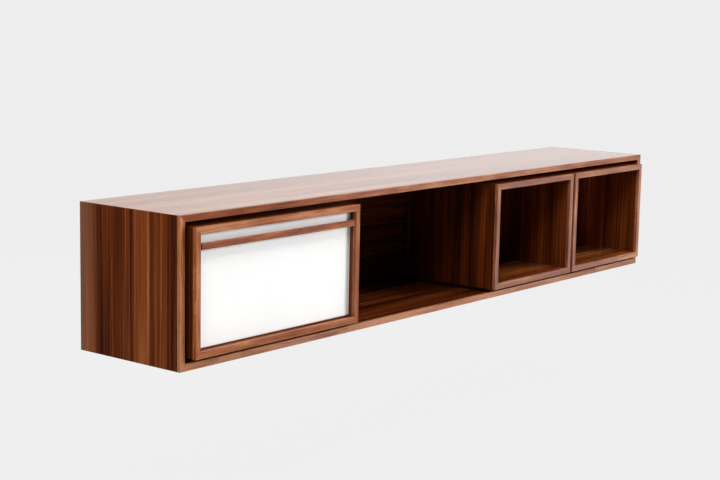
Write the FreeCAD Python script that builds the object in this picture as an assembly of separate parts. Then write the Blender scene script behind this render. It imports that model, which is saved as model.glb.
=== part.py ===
import FreeCAD, Part
import math
import os

# A long walnut case that hangs on the wall, with three loose boxes standing in it: a cabinet with a
# drop-down flap on the left and two open cubes on the right. Between them is an open bay.
# X runs along the case, Y runs from the room to the wall, Z is up. The origin is on the wall, in the
# middle of the row of wall screws. The front of the case looks along -Y. Sizes are in millimetres.

# Case
case_length = 2438.0
case_height = 419.0
case_depth = 392.0
case_board = 19.0
case_lipping = 10.0  # front to back
case_arris = 0.8  # bevel on the lippings' front edges and the outer mitred corners
case_back = 12.0
case_back_groove = 6.0
spline_thickness = 4.0
spline_width = 12.0
spline_front_stop = 40.0
spline_mitre_share = 0.6  # place along the mitre, from the outer corner to the inner one
mitre_angle = 45.0

# Cleats: the case's own cleat hooks over the cleat on the wall
cleat_thickness = 19.0
cleat_play = 1.0  # wall cleat to back panel, and case cleat to wall
wall_cleat_below_screws = 35.0
wall_cleat_above_screws = 25.0
wall_cleat_end_gap = 40.0
case_cleat_end_gap = 12.0
screw_row_below_top = 130.0
stud_spacing = 406.4
stud_end_margin = 60.0  # least from a screw to the end of the wall cleat
wall_screw_hole_radius = 3.5
wall_screw_head_radius = 7.0

# What the three boxes share
box_board = 19.0
box_lipping = 11.0
box_arris = 0.8
box_projection = 26.0  # how far the boxes stand proud of the case's front
box_top_gap = 13.5
box_side_gap = 14.0  # box to case end, and cube to cube
box_rear_gap = 6.0
box_back = 9.0
box_back_groove = 6.0
box_back_inset = 8.0
runner_height = 10.5
felt_thickness = 3.0
runner_width = 30.0
felt_width = 24.0
runner_side_inset = 40.0
runner_front_inset = 45.0
runner_rear_inset = 20.0
cabinet_width = 680.0
cube_width = 478.0

# Flap and its handle strip
flap_thickness = 19.0
flap_recess = 20.0
flap_side_gap = 3.0
flap_bottom_gap = 3.5
flap_top_gap = 3.0
flap_bottom_round = 3.0
flap_top_round = 1.0
flap_open_angle = 90.0
strip_height = 18.5
strip_depth = 19.5
strip_below_top = 24.0
strip_end_setback = 1.0
strip_lip = 7.0
strip_arris = 0.8

# Knife hinges at the flap's bottom corners
hinge_inset = 6.0  # hinge line behind the flap's face, and above its bottom edge
leaf_width = 10.0
leaf_length = 45.0
leaf_thickness = 2.5
leaf_proud = 1.0
hinge_pin_radius = 2.5
hinge_pin_end_gap = 0.2
running_clearance = 0.05

# Flap stays. Both stay pivots are equally far from the hinge line, so the rod turns half as fast as
# the flap at every angle and always points through the guide.
stay_arm = 140.0
stay_start_angle = 35.0
stay_standoff = 12.0  # rod pivot behind the flap's back
stay_gap = 0.3  # between layers, and round the rod in its guide
stay_plate_thickness = 2.5
stay_plate_width = 26.0
stay_plate_height = 62.0
stay_plate_round = 6.0
guide_length = 28.0
guide_height = 24.0
guide_thickness = 15.5
guide_round = 6.0
guide_outer_wall = 2.7
guide_pin_radius = 4.0
guide_pin_length = 8.0
rod_height = 10.0
rod_thickness = 3.0
rod_eye_radius = 8.0
rod_stop_length = 10.0
rod_stop_margin = 3.0  # stop round the rod on every side
rod_tip = 2.0
bracket_thickness = 2.5
bracket_foot_width = 26.0
bracket_foot_height = 34.0
bracket_ear_radius = 8.0
bracket_pin_radius = 3.0
bracket_head_radius = 4.6
bracket_head_thickness = 1.2

# Magnetic catches under the cabinet's top
catch_width = 50.0
catch_height = 14.0
catch_depth = 16.0
catch_round = 2.0
catch_spacing = 350.0  # middle to middle
catch_air_gap = 0.3
strike_width = 44.0
strike_height = 9.0
strike_thickness = 1.5
strike_below_catch_top = 2.5

# Places worked out from the sizes above. "front" and "rear" are values of Y.
case_x0 = -case_length / 2
case_x1 = case_length / 2
case_z1 = screw_row_below_top
case_z0 = case_z1 - case_height
case_front = -case_depth
case_inner_x0 = case_x0 + case_board
case_inner_x1 = case_x1 - case_board
case_inner_z0 = case_z0 + case_board
case_inner_z1 = case_z1 - case_board
case_back_rear = -(cleat_thickness + cleat_play)
case_back_front = case_back_rear - case_back

box_front = case_front - box_projection
box_rear = case_back_front - box_rear_gap
box_z0 = case_inner_z0 + felt_thickness + runner_height
box_z1 = case_inner_z1 - box_top_gap
box_back_rear = box_rear - box_back_inset
cabinet_x0 = case_inner_x0 + box_side_gap
cabinet_x1 = cabinet_x0 + cabinet_width
right_cube_x1 = case_inner_x1 - box_side_gap
right_cube_x0 = right_cube_x1 - cube_width
left_cube_x1 = right_cube_x0 - box_side_gap
left_cube_x0 = left_cube_x1 - cube_width

cabinet_inner_x0 = cabinet_x0 + box_board
cabinet_inner_x1 = cabinet_x1 - box_board
cabinet_inner_z0 = box_z0 + box_board
cabinet_inner_z1 = box_z1 - box_board

flap_x0 = cabinet_inner_x0 + flap_side_gap
flap_x1 = cabinet_inner_x1 - flap_side_gap
flap_z0 = cabinet_inner_z0 + flap_bottom_gap
flap_z1 = cabinet_inner_z1 - flap_top_gap
flap_front = box_front + flap_recess
flap_rear = flap_front + flap_thickness
hinge_y = flap_front + hinge_inset
hinge_z = flap_z0 + hinge_inset

# Stay pivots at rest: A is the rod's pivot on the flap, B is the guide's pivot on the cabinet's side.
stay_a_back = flap_thickness - hinge_inset + stay_standoff
stay_a_angle = math.degrees(math.asin(stay_a_back / stay_arm))
stay_b_angle = stay_a_angle + stay_start_angle
stay_a_y = hinge_y + stay_a_back
stay_a_z = hinge_z + stay_arm * math.cos(math.radians(stay_a_angle))
stay_b_y = hinge_y + stay_arm * math.sin(math.radians(stay_b_angle))
stay_b_z = hinge_z + stay_arm * math.cos(math.radians(stay_b_angle))
rod_angle = math.degrees(math.atan2(stay_b_z - stay_a_z, stay_b_y - stay_a_y))
rod_reach_open = 2 * stay_arm * math.sin(math.radians((stay_start_angle + flap_open_angle) / 2))
rod_stop_start = rod_reach_open + guide_length / 2 + stay_gap
rod_length = rod_stop_start + rod_stop_length + rod_tip

# Layers of a stay, as distances from the inner face of the cabinet's side
guide_near = stay_plate_thickness + stay_gap
guide_far = guide_near + guide_thickness
slot_far = guide_far - guide_outer_wall
rod_far = slot_far - stay_gap
rod_near = rod_far - rod_thickness
slot_near = rod_near - stay_gap
ear_near = rod_far + stay_gap
head_far = rod_near - stay_gap

left = "left"
right = "right"
nearly_parallel = 0.999  # cosine of the angle that still counts as along an axis
same_plane = 0.05  # furthest that an edge may lie off a plane it is said to be in
cubic_mm_in_cm = 1000.0


def vec(x, y, z):
    return FreeCAD.Vector(x, y, z)


def block(x0, x1, y0, y1, z0, z1):
    """Box between two corners."""
    return Part.makeBox(x1 - x0, y1 - y0, z1 - z0, vec(x0, y0, z0))


def polygon_along_y(points, y0, y1):
    """Straight-sided outline in X and Z, carried from y0 to y1."""
    corners = [vec(x, y0, z) for x, z in points]
    wire = Part.makePolygon(corners + corners[:1])
    return Part.Face(wire).extrude(vec(0, y1 - y0, 0))


def polygon_along_x(points, x0, x1):
    """Straight-sided outline in Y and Z, carried from x0 to x1."""
    corners = [vec(x0, y, z) for y, z in points]
    wire = Part.makePolygon(corners + corners[:1])
    return Part.Face(wire).extrude(vec(x1 - x0, 0, 0))


def rod_along_x(y, z, radius, x0, x1):
    """Round bar along X."""
    return Part.makeCylinder(radius, x1 - x0, vec(x0, y, z), vec(1, 0, 0))


def edges_along(shape, direction):
    """Straight edges of a shape that run along one axis."""
    found = []
    for edge in shape.Edges:
        span = edge.Vertexes[-1].Point - edge.Vertexes[0].Point
        if span.Length > 0 and abs(span.normalize().dot(direction)) > nearly_parallel:
            found.append(edge)
    return found


def rounded_block(x0, x1, y0, y1, z0, z1, radius, direction):
    """Box whose four edges along one axis are rounded."""
    body = block(x0, x1, y0, y1, z0, z1)
    return body.makeFillet(radius, edges_along(body, direction))


def mitred_frame(x0, x1, z0, z1, wall, y0, y1):
    """Four boards of a box that meet at 45 degrees in its corners."""
    ix0, ix1, iz0, iz1 = x0 + wall, x1 - wall, z0 + wall, z1 - wall
    outlines = {
        "top": [(x0, z1), (x1, z1), (ix1, iz1), (ix0, iz1)],
        "bottom": [(x0, z0), (ix0, iz0), (ix1, iz0), (x1, z0)],
        "left": [(x0, z0), (x0, z1), (ix0, iz1), (ix0, iz0)],
        "right": [(x1, z0), (ix1, iz0), (ix1, iz1), (x1, z1)],
    }
    return {side: polygon_along_y(points, y0, y1) for side, points in outlines.items()}


def eased(frame, x0, x1, z0, z1, y0, y1, arris):
    """Takes the sharpness off the outer corners of a mitred frame."""
    outline = block(x0, x1, y0, y1, z0, z1)
    outline = outline.makeChamfer(arris, edges_along(outline, vec(0, 1, 0)))
    return {side: board.common(outline) for side, board in frame.items()}


def lipping_frame(x0, x1, z0, z1, wall, front, depth, arris):
    """Four mitred strips on the front edges of a box, their front edges bevelled inside and out."""
    rear = front + depth
    outer = block(x0, x1, front, rear, z0, z1)
    outer = outer.makeChamfer(arris, edges_along(outer, vec(0, 1, 0)) + front_loop(outer, front))
    inner = block(x0 + wall, x1 - wall, front, rear, z0 + wall, z1 - wall)
    ring = outer.cut(inner)
    ring = ring.makeChamfer(arris, inner_front_edges(ring, front, x0, x1, z0, z1, wall))
    strips = mitred_frame(x0, x1, z0, z1, wall, front, rear)
    return {side: strip.common(ring) for side, strip in strips.items()}


def front_loop(shape, front):
    """Edges that lie in the front plane."""
    return [edge for edge in shape.Edges
            if abs(edge.BoundBox.YMin - front) + abs(edge.BoundBox.YMax - front) < same_plane]


def inner_front_edges(ring, front, x0, x1, z0, z1, wall):
    """Edges of the frame's inner opening that lie in the front plane."""
    found = []
    for edge in front_loop(ring, front):
        middle = edge.CenterOfMass
        if x0 + wall / 2 < middle.x < x1 - wall / 2 and z0 + wall / 2 < middle.z < z1 - wall / 2:
            found.append(edge)
    return found


def single(shape, name):
    """The one solid of a shape, so that a failed cut is noticed."""
    if len(shape.Solids) != 1:
        raise ValueError(name + " should be one solid, and is " + str(len(shape.Solids)))
    return shape.Solids[0]


def group(shapes):
    """Separate solids that share one file."""
    return Part.makeCompound([solid for shape in shapes for solid in shape.Solids])


# Case


def case_back_panel():
    return block(case_inner_x0 - case_back_groove, case_inner_x1 + case_back_groove,
                 case_back_front, case_back_rear,
                 case_inner_z0 - case_back_groove, case_inner_z1 + case_back_groove)


def case_splines():
    """Loose plywood tongues across the four mitres, square to the joint and stopped at both ends."""
    y0 = case_front + case_lipping + spline_front_stop
    y1 = case_back_front - spline_front_stop
    step = case_board * spline_mitre_share
    places = [(case_x0 + step, case_z1 - step, 1), (case_x1 - step, case_z1 - step, -1),
              (case_x0 + step, case_z0 + step, -1), (case_x1 - step, case_z0 + step, 1)]
    splines = []
    for x, z, lean in places:
        flat = block(x - spline_width / 2, x + spline_width / 2, y0, y1,
                     z - spline_thickness / 2, z + spline_thickness / 2)
        flat.rotate(vec(x, 0, z), vec(0, 1, 0), -mitre_angle * lean)
        splines.append(flat)
    return splines


def case_boards(back_panel, splines):
    frame = mitred_frame(case_x0, case_x1, case_z0, case_z1, case_board, case_front + case_lipping, 0)
    frame = eased(frame, case_x0, case_x1, case_z0, case_z1, case_front + case_lipping, 0, case_arris)
    boards = {}
    for side, board in frame.items():
        board = board.cut(back_panel)
        for spline in splines:
            board = board.cut(spline)
        boards[side] = single(board, "case " + side)
    return boards


def case_cleat():
    """Board glued to the back of the back panel, its lower edge cut at 45 degrees to hook downwards."""
    y0, y1 = case_back_rear, -cleat_play
    points = [(y0, case_inner_z1), (y1, case_inner_z1),
              (y1, wall_cleat_above_screws - y1), (y0, wall_cleat_above_screws - y0)]
    return polygon_along_x(points, case_inner_x0 + case_cleat_end_gap, case_inner_x1 - case_cleat_end_gap)


def stud_places():
    """X of each screw in the wall cleat: as many pairs of studs, about the middle, as it reaches."""
    reach = case_inner_x1 - wall_cleat_end_gap - stud_end_margin
    halves = [stud_spacing / 2 + n * stud_spacing for n in range(math.ceil(reach / stud_spacing))]
    return sorted(side * half for half in halves if half <= reach for side in (-1, 1))


def wall_cleat():
    """Board screwed to the wall, its upper edge cut at 45 degrees, with a countersunk hole per screw."""
    y0 = -cleat_thickness
    points = [(0, -wall_cleat_below_screws), (0, wall_cleat_above_screws),
              (y0, wall_cleat_above_screws - y0), (y0, -wall_cleat_below_screws)]
    body = polygon_along_x(points, case_inner_x0 + wall_cleat_end_gap, case_inner_x1 - wall_cleat_end_gap)
    sink = wall_screw_head_radius - wall_screw_hole_radius
    for x in stud_places():
        body = body.cut(Part.makeCylinder(wall_screw_hole_radius, cleat_thickness, vec(x, y0, 0), vec(0, 1, 0)))
        body = body.cut(Part.makeCone(wall_screw_head_radius, wall_screw_hole_radius, sink,
                                      vec(x, y0, 0), vec(0, 1, 0)))
    return body


# Boxes


def box_back_panel(x0, x1):
    return block(x0 + box_board - box_back_groove, x1 - box_board + box_back_groove,
                 box_back_rear - box_back, box_back_rear,
                 box_z0 + box_board - box_back_groove, box_z1 - box_board + box_back_groove)


def box_boards(x0, x1, back_panel):
    y0 = box_front + box_lipping
    frame = mitred_frame(x0, x1, box_z0, box_z1, box_board, y0, box_rear)
    frame = eased(frame, x0, x1, box_z0, box_z1, y0, box_rear, box_arris)
    return {side: single(board.cut(back_panel), "box " + side) for side, board in frame.items()}


def box_strips(x0, x1):
    return lipping_frame(x0, x1, box_z0, box_z1, box_board, box_front, box_lipping, box_arris)


def runner_places(x0, x1):
    """Middle of each of a box's two runners."""
    reach = runner_side_inset + runner_width / 2
    return [x0 + reach, x1 - reach]


def box_runners(x0, x1):
    """Two walnut runners, front to back, that carry a box and leave the dark gap under it."""
    return [block(x - runner_width / 2, x + runner_width / 2,
                  box_front + runner_front_inset, box_rear - runner_rear_inset,
                  box_z0 - runner_height, box_z0) for x in runner_places(x0, x1)]


def box_felts(x0, x1):
    """Felt under the runners, which lets a box slide along the case."""
    return [block(x - felt_width / 2, x + felt_width / 2,
                  box_front + runner_front_inset, box_rear - runner_rear_inset,
                  case_inner_z0, case_inner_z0 + felt_thickness) for x in runner_places(x0, x1)]


# Flap


def flap_panel():
    """White panel: bottom front edge rounded so that it clears the cabinet's bottom as it turns."""
    body = block(flap_x0, flap_x1, flap_front, flap_rear, flap_z0, flap_z1)
    lower = [edge for edge in edges_along(body, vec(1, 0, 0))
             if edge.CenterOfMass.y < hinge_y and edge.CenterOfMass.z < hinge_z]
    body = body.makeFillet(flap_bottom_round, lower)
    upper = [edge for edge in edges_along(body, vec(1, 0, 0))
             if edge.CenterOfMass.y < hinge_y and edge.CenterOfMass.z > flap_z1 - flap_top_round]
    return body.makeFillet(flap_top_round, upper)


def handle_strip():
    """Walnut bar on the flap's face, hollowed behind its upper lip so that fingers can pull it."""
    z1 = cabinet_inner_z1 - strip_below_top
    z0 = z1 - strip_height
    y0 = flap_front - strip_depth
    x0, x1 = flap_x0 + strip_end_setback, flap_x1 - strip_end_setback
    body = block(x0, x1, y0, flap_front, z0, z1)
    face_edges = [edge for edge in edges_along(body, vec(1, 0, 0)) if edge.CenterOfMass.y < y0 + strip_arris]
    body = body.makeFillet(strip_arris, face_edges)
    hollow_radius = strip_depth - strip_lip
    return body.cut(rod_along_x(flap_front, z1, hollow_radius, x0, x1))


# Everything at a corner of the flap is placed by its distance from the cabinet's inner side face


def inward(side, distance):
    """X at a distance in from the inner face of one side of the cabinet."""
    return cabinet_inner_x0 + distance if side == left else cabinet_inner_x1 - distance


def span(side, near, far):
    """Two values of X in rising order, for two distances in from one side."""
    return sorted((inward(side, near), inward(side, far)))


def leaf(side, near, far):
    """Flat hinge leaf with round ends, standing up from the hinge line."""
    x0, x1 = span(side, near, far)
    radius = leaf_width / 2
    upper_z = hinge_z + leaf_length - leaf_width
    body = block(x0, x1, hinge_y - radius, hinge_y + radius, hinge_z, upper_z)
    body = body.fuse(rod_along_x(hinge_y, hinge_z, radius, x0, x1))
    body = body.fuse(rod_along_x(hinge_y, upper_z, radius, x0, x1))
    return body.removeSplitter()


def hinge_case_leaf(side):
    """Leaf let into the cabinet's side, with its pin riveted in."""
    body = leaf(side, leaf_proud - leaf_thickness, leaf_proud)
    pin_end = flap_side_gap - leaf_proud + leaf_thickness - hinge_pin_end_gap
    x0, x1 = span(side, leaf_proud, pin_end)
    return body.fuse(rod_along_x(hinge_y, hinge_z, hinge_pin_radius, x0, x1))


def hinge_door_leaf(side):
    """Leaf let into the end of the flap, bored for the pin."""
    near = flap_side_gap - leaf_proud
    body = leaf(side, near, near + leaf_thickness)
    x0, x1 = span(side, near, near + leaf_thickness)
    return body.cut(rod_along_x(hinge_y, hinge_z, hinge_pin_radius + running_clearance, x0, x1))


def hinge_washer(side):
    """Washer on the pin that fills the gap between the two leaves."""
    x0, x1 = span(side, leaf_proud, flap_side_gap - leaf_proud)
    ring = rod_along_x(hinge_y, hinge_z, leaf_width / 2, x0, x1)
    return ring.cut(rod_along_x(hinge_y, hinge_z, hinge_pin_radius + running_clearance, x0, x1))


def stay_base(side):
    """Plate screwed to the cabinet's side, with the pin that the guide swivels on."""
    x0, x1 = span(side, 0, stay_plate_thickness)
    body = rounded_block(x0, x1, stay_b_y - stay_plate_width / 2, stay_b_y + stay_plate_width / 2,
                         stay_b_z - stay_plate_height / 2, stay_b_z + stay_plate_height / 2,
                         stay_plate_round, vec(1, 0, 0))
    x0, x1 = span(side, stay_plate_thickness, stay_plate_thickness + guide_pin_length)
    return body.fuse(rod_along_x(stay_b_y, stay_b_z, guide_pin_radius, x0, x1))


def swung(shape, y, z):
    """Turns a shape that was made level about a pivot so that it points along the rod."""
    shape.rotate(vec(0, y, z), vec(1, 0, 0), rod_angle)
    return shape


def stay_guide(side):
    """Block that swivels on the base plate's pin. The rod slides through its slot."""
    x0, x1 = span(side, guide_near, guide_far)
    y0, y1 = stay_b_y - guide_length / 2, stay_b_y + guide_length / 2
    body = rounded_block(x0, x1, y0, y1, stay_b_z - guide_height / 2, stay_b_z + guide_height / 2,
                         guide_round, vec(1, 0, 0))
    x0, x1 = span(side, slot_near, slot_far)
    reach = rod_height / 2 + stay_gap
    body = body.cut(block(x0, x1, y0, y1, stay_b_z - reach, stay_b_z + reach))
    x0, x1 = span(side, guide_near, stay_plate_thickness + guide_pin_length + stay_gap)
    body = body.cut(rod_along_x(stay_b_y, stay_b_z, guide_pin_radius + running_clearance, x0, x1))
    return swung(body, stay_b_y, stay_b_z)


def stay_rod(side):
    """Flat steel bar with an eye at the flap's end."""
    x0, x1 = span(side, rod_near, rod_far)
    y, z = stay_a_y, stay_a_z
    body = block(x0, x1, y, y + rod_length, z - rod_height / 2, z + rod_height / 2)
    body = body.fuse(rod_along_x(y, z, rod_eye_radius, x0, x1)).removeSplitter()
    body = body.cut(rod_along_x(y, z, bracket_pin_radius + running_clearance, x0, x1))
    return swung(body, y, z)


def stay_stop(side):
    """Nylon block on the rod's end that meets the guide when the flap is level."""
    y, z = stay_a_y, stay_a_z
    x0, x1 = span(side, rod_near - rod_stop_margin, rod_far + rod_stop_margin)
    reach = rod_height / 2 + rod_stop_margin
    body = rounded_block(x0, x1, y + rod_stop_start, y + rod_stop_start + rod_stop_length,
                         z - reach, z + reach, rod_stop_margin / 2, vec(0, 1, 0))
    x0, x1 = span(side, rod_near, rod_far)
    body = body.cut(block(x0, x1, y + rod_stop_start, y + rod_stop_start + rod_stop_length,
                          z - rod_height / 2, z + rod_height / 2))
    return swung(body, y, z)


def stay_bracket(side):
    """Angle bracket on the flap's back: a foot against the panel, an ear, and a headed pin."""
    y, z = stay_a_y, stay_a_z
    x0, x1 = span(side, ear_near, ear_near + bracket_foot_width)
    foot = rounded_block(x0, x1, flap_rear, flap_rear + bracket_thickness,
                         z - bracket_foot_height / 2, z + bracket_foot_height / 2,
                         bracket_thickness, vec(0, 1, 0))
    x0, x1 = span(side, ear_near, ear_near + bracket_thickness)
    ear = block(x0, x1, flap_rear, y, z - bracket_ear_radius, z + bracket_ear_radius)
    ear = ear.fuse(rod_along_x(y, z, bracket_ear_radius, x0, x1))
    x0, x1 = span(side, head_far, ear_near)
    pin = rod_along_x(y, z, bracket_pin_radius, x0, x1)
    x0, x1 = span(side, head_far - bracket_head_thickness, head_far)
    head = rod_along_x(y, z, bracket_head_radius, x0, x1)
    return foot.fuse([ear, pin, head]).removeSplitter()


# Catches


def catch_places():
    middle = (cabinet_x0 + cabinet_x1) / 2
    return [middle - catch_spacing / 2, middle + catch_spacing / 2]


def magnetic_catches():
    """Housings screwed up under the cabinet's top. They also stop the flap when it closes."""
    y0 = flap_rear + strike_thickness + catch_air_gap
    return [rounded_block(x - catch_width / 2, x + catch_width / 2, y0, y0 + catch_depth,
                          cabinet_inner_z1 - catch_height, cabinet_inner_z1, catch_round, vec(0, 0, 1))
            for x in catch_places()]


def strike_plates():
    z1 = cabinet_inner_z1 - strike_below_catch_top - flap_top_gap
    return [block(x - strike_width / 2, x + strike_width / 2, flap_rear, flap_rear + strike_thickness,
                  z1 - strike_height, z1) for x in catch_places()]


# Putting the nodes together


def case_nodes():
    back_panel = case_back_panel()
    splines = case_splines()
    boards = case_boards(back_panel, splines)
    strips = lipping_frame(case_x0, case_x1, case_z0, case_z1, case_board,
                           case_front, case_lipping, case_arris)
    nodes = {"case_" + side + ("_end" if side in (left, right) else ""): board
             for side, board in boards.items()}
    for side, strip in strips.items():
        nodes["case_" + side + "_lipping"] = strip
    nodes["case_back_panel"] = back_panel
    nodes["case_mitre_splines"] = group(splines)
    nodes["case_cleat"] = case_cleat()
    nodes["wall_cleat"] = wall_cleat()
    return nodes


def box_nodes(name, x0, x1, mortises):
    """Boards, back, runners and felts of one box."""
    back_panel = box_back_panel(x0, x1)
    nodes = {}
    for side, board in box_boards(x0, x1, back_panel).items():
        for mortise in mortises:
            board = board.cut(mortise)
        nodes[name + "_" + side + ("_side" if side in (left, right) else "")] = board
    nodes[name + "_back"] = back_panel
    nodes[name + "_runners"] = group(box_runners(x0, x1))
    nodes[name + "_felts"] = group(box_felts(x0, x1))
    return nodes


def cabinet_nodes():
    sides = (left, right)
    mortises = [leaf(side, leaf_proud - leaf_thickness, leaf_proud) for side in sides]
    nodes = box_nodes("cabinet", cabinet_x0, cabinet_x1, mortises)
    for side, strip in box_strips(cabinet_x0, cabinet_x1).items():
        nodes["cabinet_" + side + "_lipping"] = strip
    nodes["hinge_washers"] = group([hinge_washer(side) for side in sides])
    nodes["magnetic_catches"] = group(magnetic_catches())
    for side in sides:
        nodes[side + "_hinge_case_leaf"] = hinge_case_leaf(side)
        nodes[side + "_stay_base"] = stay_base(side)
        nodes[side + "_stay_guide"] = stay_guide(side)
        nodes[side + "_stay_rod"] = stay_rod(side)
        nodes[side + "_stay_stop"] = stay_stop(side)
    return nodes


def flap_nodes():
    sides = (left, right)
    panel = flap_panel()
    near = flap_side_gap - leaf_proud
    for side in sides:
        panel = panel.cut(leaf(side, near, near + leaf_thickness))
    nodes = {"flap_panel": panel, "handle_strip": handle_strip(), "strike_plates": group(strike_plates())}
    for side in sides:
        nodes[side + "_hinge_door_leaf"] = hinge_door_leaf(side)
        nodes[side + "_stay_bracket"] = stay_bracket(side)
    return nodes


def cube_nodes(name, x0, x1):
    nodes = box_nodes(name, x0, x1, [])
    nodes[name + "_front_lippings"] = group(box_strips(x0, x1).values())
    return nodes


def build():
    nodes = {}
    nodes.update(case_nodes())
    nodes.update(cabinet_nodes())
    nodes.update(flap_nodes())
    nodes.update(cube_nodes("left_cube", left_cube_x0, left_cube_x1))
    nodes.update(cube_nodes("right_cube", right_cube_x0, right_cube_x1))
    return nodes


os.makedirs("parts", exist_ok=True)
for name, shape in sorted(build().items()):
    if not shape.isValid():
        raise ValueError(name + " is not valid")
    shape.exportStep("parts/" + name + ".step")
    print(name, len(shape.Solids), "solids", round(shape.Volume / cubic_mm_in_cm, 1), "cm3")
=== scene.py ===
import math
import bmesh
import bpy
from mathutils import Matrix, Vector


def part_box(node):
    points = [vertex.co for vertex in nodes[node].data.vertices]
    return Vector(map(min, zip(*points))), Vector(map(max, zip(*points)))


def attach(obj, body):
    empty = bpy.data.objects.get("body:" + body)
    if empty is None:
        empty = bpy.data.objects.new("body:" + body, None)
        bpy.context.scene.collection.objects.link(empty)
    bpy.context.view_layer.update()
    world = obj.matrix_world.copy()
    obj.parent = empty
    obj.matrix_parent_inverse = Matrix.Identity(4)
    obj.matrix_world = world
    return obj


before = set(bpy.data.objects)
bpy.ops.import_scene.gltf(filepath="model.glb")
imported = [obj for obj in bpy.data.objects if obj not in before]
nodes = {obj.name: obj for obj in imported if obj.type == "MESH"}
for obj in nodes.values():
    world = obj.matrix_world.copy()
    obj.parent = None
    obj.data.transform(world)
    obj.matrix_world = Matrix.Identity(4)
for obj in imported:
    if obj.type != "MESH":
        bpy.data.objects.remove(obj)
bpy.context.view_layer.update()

# Wall unit: finishes, small fasteners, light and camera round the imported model.
# Metres. X runs along the case, Y from the room to the wall, Z is up. The origin is on the wall.

scene = bpy.context.scene
scene.view_settings.view_transform = "Standard"
mm = 0.001


# Small helpers for node trees

def feed(tree, node, wires):
    # a socket is linked to the node's input, and a plain value is set on it
    for key, value in wires.items():
        if isinstance(value, bpy.types.NodeSocket):
            tree.links.new(value, node.inputs[key])
        else:
            node.inputs[key].default_value = value


def addNode(tree, kind, wires=None, **settings):
    node = tree.nodes.new(kind)
    for key, value in settings.items():
        setattr(node, key, value)
    feed(tree, node, wires or {})
    return node


def calc(tree, operation, *values):
    return addNode(tree, "ShaderNodeMath", dict(enumerate(values)), operation=operation).outputs[0]


def centred(tree, value):
    # a pattern from 0 to 1 as one from -0.5 to 0.5
    return calc(tree, "SUBTRACT", value, 0.5)


def distance(tree, value, place):
    return calc(tree, "ABSOLUTE", calc(tree, "SUBTRACT", value, place))


def splitAxes(tree, vector):
    return addNode(tree, "ShaderNodeSeparateXYZ", {0: vector}).outputs


def joinAxes(tree, x, y, z):
    return addNode(tree, "ShaderNodeCombineXYZ", {0: x, 1: y, 2: z}).outputs[0]


def stretch(tree, vector, scales):
    wires = {0: vector, 1: scales}
    return addNode(tree, "ShaderNodeVectorMath", wires, operation="MULTIPLY").outputs[0]


def noise(tree, vector, scale=1.0, detail=2.0, rough=0.5):
    wires = {"Vector": vector, "Scale": scale, "Detail": detail, "Roughness": rough}
    return addNode(tree, "ShaderNodeTexNoise", wires).outputs["Fac"]


def ease(tree, value, low, high, toLow=0.0, toHigh=1.0):
    wires = {"Value": value, "From Min": low, "From Max": high, "To Min": toLow, "To Max": toHigh}
    return addNode(tree, "ShaderNodeMapRange", wires, interpolation_type="SMOOTHSTEP").outputs[0]


def blendValues(tree, factor, first, second):
    return addNode(tree, "ShaderNodeMix", {0: factor, 2: first, 3: second}).outputs[0]


def blendColours(tree, factor, first, second, mode="MIX"):
    wires = {0: factor, 6: first, 7: second}
    return addNode(tree, "ShaderNodeMix", wires, data_type="RGBA", blend_type=mode).outputs[2]


def colourRamp(tree, value, stops):
    ramp = addNode(tree, "ShaderNodeValToRGB", {"Fac": value})
    while len(ramp.color_ramp.elements) < len(stops):
        ramp.color_ramp.elements.new(1.0)
    for element, (place, colour) in zip(ramp.color_ramp.elements, stops):
        element.position = place
        element.color = (*colour, 1.0)
    return ramp.outputs["Color"]


def grey(level):
    return (level, level, level, 1.0)


def newGroup(name, inputs, outputs, kind="ShaderNodeTree"):
    tree = bpy.data.node_groups.new(name, kind)
    for label, form, value in inputs:
        socket = tree.interface.new_socket(name=label, in_out="INPUT", socket_type="NodeSocket" + form)
        if value is not None:
            socket.default_value = value
    for label, form in outputs:
        tree.interface.new_socket(name=label, in_out="OUTPUT", socket_type="NodeSocket" + form)
    return tree, tree.nodes.new("NodeGroupInput").outputs, tree.nodes.new("NodeGroupOutput").inputs


def closeGroup(tree, ends, results):
    for label, socket in results.items():
        tree.links.new(socket, ends[label])
    return tree


# Effects shared by several materials

woodInputs = [  # a board's own word, the group's input and what a plain board has
    ("seed", "Seed", 0.0),
    ("zone", "Zone Width", 45 * mm),  # the broad bands of tone
    ("wander", "Wander", 12 * mm),  # how far the lines stray sideways
    ("lines", "Lines", 0.6),  # strength of the dark and pale lines
    ("tone", "Tone", 0.0),
    ("contrast", "Contrast", 0.9),
    ("run", "Run", 1.0),  # how quickly the figure changes along the grain
    ("bandPlace", "Band Place", 0.0),  # one paler band, measured across the grain
    ("bandWidth", "Band Width", 50 * mm),
    ("bandTone", "Band Tone", 0.0),
    ("piece", "Piece Length", 100.0),  # far longer than a board, so there is no joint in it
    ("joint", "First Joint", 50.0),
    ("pieceTone", "Piece Tone", 0.16),  # how much pieces in one length differ
    ("fadeFrom", "Fade From", 0.0),  # the tone changes along the grain from here
    ("fadeTo", "Fade To", 1.0),
    ("fadeTone", "Fade Tone", 0.0),
]

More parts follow.
